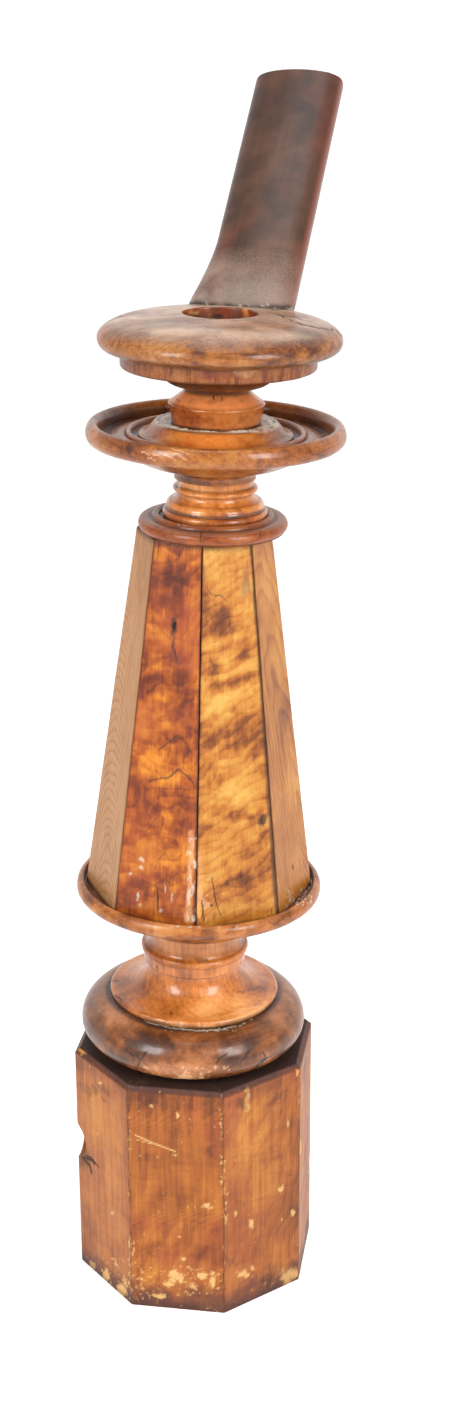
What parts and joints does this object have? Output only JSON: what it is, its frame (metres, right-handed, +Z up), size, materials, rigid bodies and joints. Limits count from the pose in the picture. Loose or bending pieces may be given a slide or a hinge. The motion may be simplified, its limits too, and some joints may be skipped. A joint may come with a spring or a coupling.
{
  "type": "newel post",
  "caption": "Stair newel post with a boarded octagonal plinth, a coopered tapering shaft between turned dishes, and a round cap carrying a sawn-off length of handrail.",
  "frame": {"origin": "middle of the plinth's underside, in the plane the post stands on", "axes": "+Z up the post; -Y out of the middle of the plinth face that is nearest the front; the handrail climbs away toward +Y"},
  "size_m": [0.2878, 0.4601, 1.3079],
  "materials": {
    "plinth_wood": "worn reddish-brown varnish, scraped and chipped along its lower edge",
    "cushion_wood": "dark brown varnish with grey stains and drying cracks",
    "turned_wood": "orange-brown varnish, satin",
    "dish_wood": "brown varnish, rubbed on its edges",
    "stave_pale": "pale straight-grained wood, satin",
    "stave_red": "deep reddish-orange mottled wood, satin",
    "stave_gold": "golden wood with wavy dark figure, satin",
    "stave_tan": "tan wood with arched grain, satin",
    "ring_wood": "reddish-orange end grain, satin",
    "cap_wood": "grey-brown top with a golden-brown front edge, rubbed",
    "rail_mahogany": "dark brown mahogany, dull varnish"
  },
  "bodies": {
    "root": {"plinth_board_1": "plinth_wood", "plinth_board_2": "plinth_wood", "plinth_board_3": "plinth_wood", "plinth_board_4": "plinth_wood", "plinth_board_5": "plinth_wood", "plinth_board_6": "plinth_wood", "plinth_board_7": "plinth_wood", "plinth_board_8": "plinth_wood", "base_cushion": "cushion_wood", "lower_neck": "turned_wood", "lower_dish": "dish_wood", "shaft_stave_1": "stave_pale", "shaft_stave_2": "stave_red", "shaft_stave_3": "stave_gold", "shaft_stave_4": "stave_tan", "shaft_stave_5": "stave_gold", "shaft_stave_6": "stave_red", "shaft_stave_7": "stave_tan", "shaft_stave_8": "stave_red", "head_disc": "dish_wood", "upper_neck": "turned_wood", "upper_dish": "dish_wood", "collar": "turned_wood", "cap_ring": "ring_wood", "cap": "cap_wood", "handrail": "rail_mahogany"}
  },
  "joints": []
}
